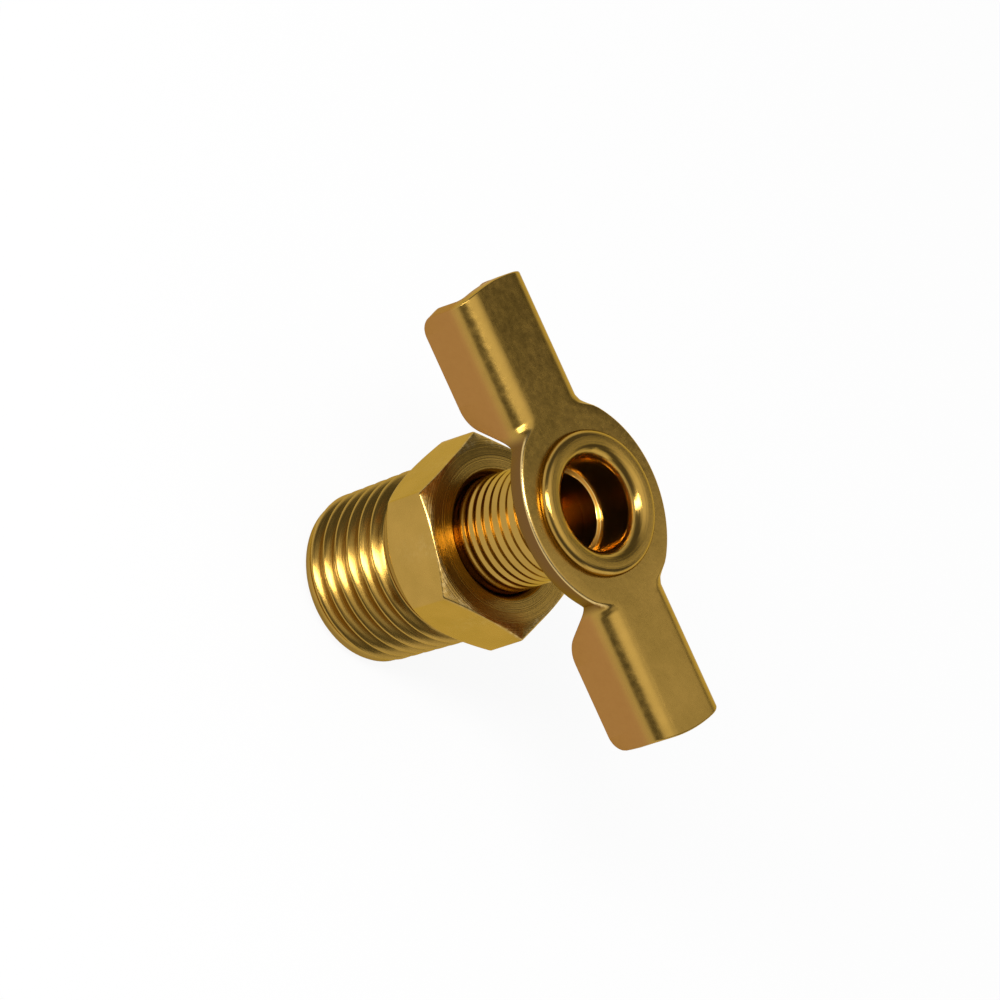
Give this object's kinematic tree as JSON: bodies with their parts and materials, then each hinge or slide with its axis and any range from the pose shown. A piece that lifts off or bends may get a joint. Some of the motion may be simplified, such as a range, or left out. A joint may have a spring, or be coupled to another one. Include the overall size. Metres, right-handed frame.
{
  "type": "drain cock",
  "caption": "Small brass drain cock: tapered pipe thread, hexagon, hollow threaded stem with a seat washer, and a stamped wing handle under the stem's rolled lip.",
  "frame": {"origin": "centre of the inlet end's face, where the valve stands", "axes": "+Z along the valve's axis from the inlet to the outlet, +X along the handle's wings"},
  "size_m": [0.0374, 0.016, 0.0274],
  "materials": {
    "body_brass": "turned and polished",
    "stem_brass": "turned and polished",
    "washer_rubber": "matte",
    "handle_brass": "stamped sheet, satin"
  },
  "bodies": {
    "body": {"valve_body": "body_brass"},
    "washer": {"seat_washer": "washer_rubber"},
    "stem": {"stem": "stem_brass", "handle": "handle_brass"}
  },
  "joints": [
    {"name": "stem_travel", "type": "slide", "parent": "body", "child": "washer", "axis": [0, 0, 1], "range_m": [-0.0016, 0.0021]},
    {"name": "stem_turn", "type": "hinge", "parent": "washer", "child": "stem", "pos_m": [0, 0, 0.0147], "axis": [0, 0, 1], "range_deg": [-630, 810]}
  ],
  "couplings": [
    {"joint": "stem_travel", "follows": "stem_turn", "m_per_rad": 0.00014435}
  ]
}
